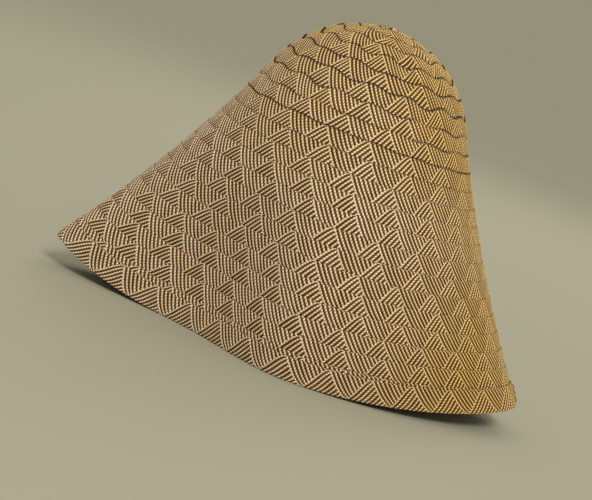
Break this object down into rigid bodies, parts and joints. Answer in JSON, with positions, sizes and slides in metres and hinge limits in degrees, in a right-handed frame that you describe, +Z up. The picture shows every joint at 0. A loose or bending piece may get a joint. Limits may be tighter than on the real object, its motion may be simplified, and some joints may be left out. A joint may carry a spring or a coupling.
{
  "type": "conical straw hat",
  "caption": "Cone-shaped straw hat with a domed crown and a deep soft brim pinched at the front, sewn in a spiral from two-tone plaited braid.",
  "frame": {"origin": "on the axis of the crown, at the height of the level sides of the brim edge", "axes": "+Z up the axis towards the tip, front of the hat at -X, end of the braid and back of the hat at +X"},
  "size_m": [0.4216, 0.2587, 0.288],
  "materials": {
    "straw": "plaited light and dark straw, satin",
    "ribbon": "ribbed grosgrain ribbon, matt",
    "thread": "twisted cotton thread, matt"
  },
  "bodies": {
    "root": {"tip_button": "straw", "braid_turn_01": "straw", "braid_turn_02": "straw", "braid_turn_03": "straw", "braid_turn_04": "straw", "braid_turn_05": "straw", "braid_turn_06": "straw", "braid_turn_07": "straw", "braid_turn_08": "straw", "braid_turn_09": "straw", "braid_turn_10": "straw", "braid_turn_11": "straw", "braid_turn_12": "straw", "braid_turn_13": "straw", "braid_turn_14": "straw", "braid_turn_15": "straw", "braid_turn_16": "straw", "braid_turn_17": "straw", "braid_turn_18": "straw", "braid_turn_19": "straw", "braid_turn_20": "straw", "braid_turn_21": "straw", "braid_turn_22": "straw", "braid_turn_23": "straw", "sweatband": "ribbon", "sweatband_stitches": "thread", "braid_end_stitches": "thread"}
  },
  "joints": []
}
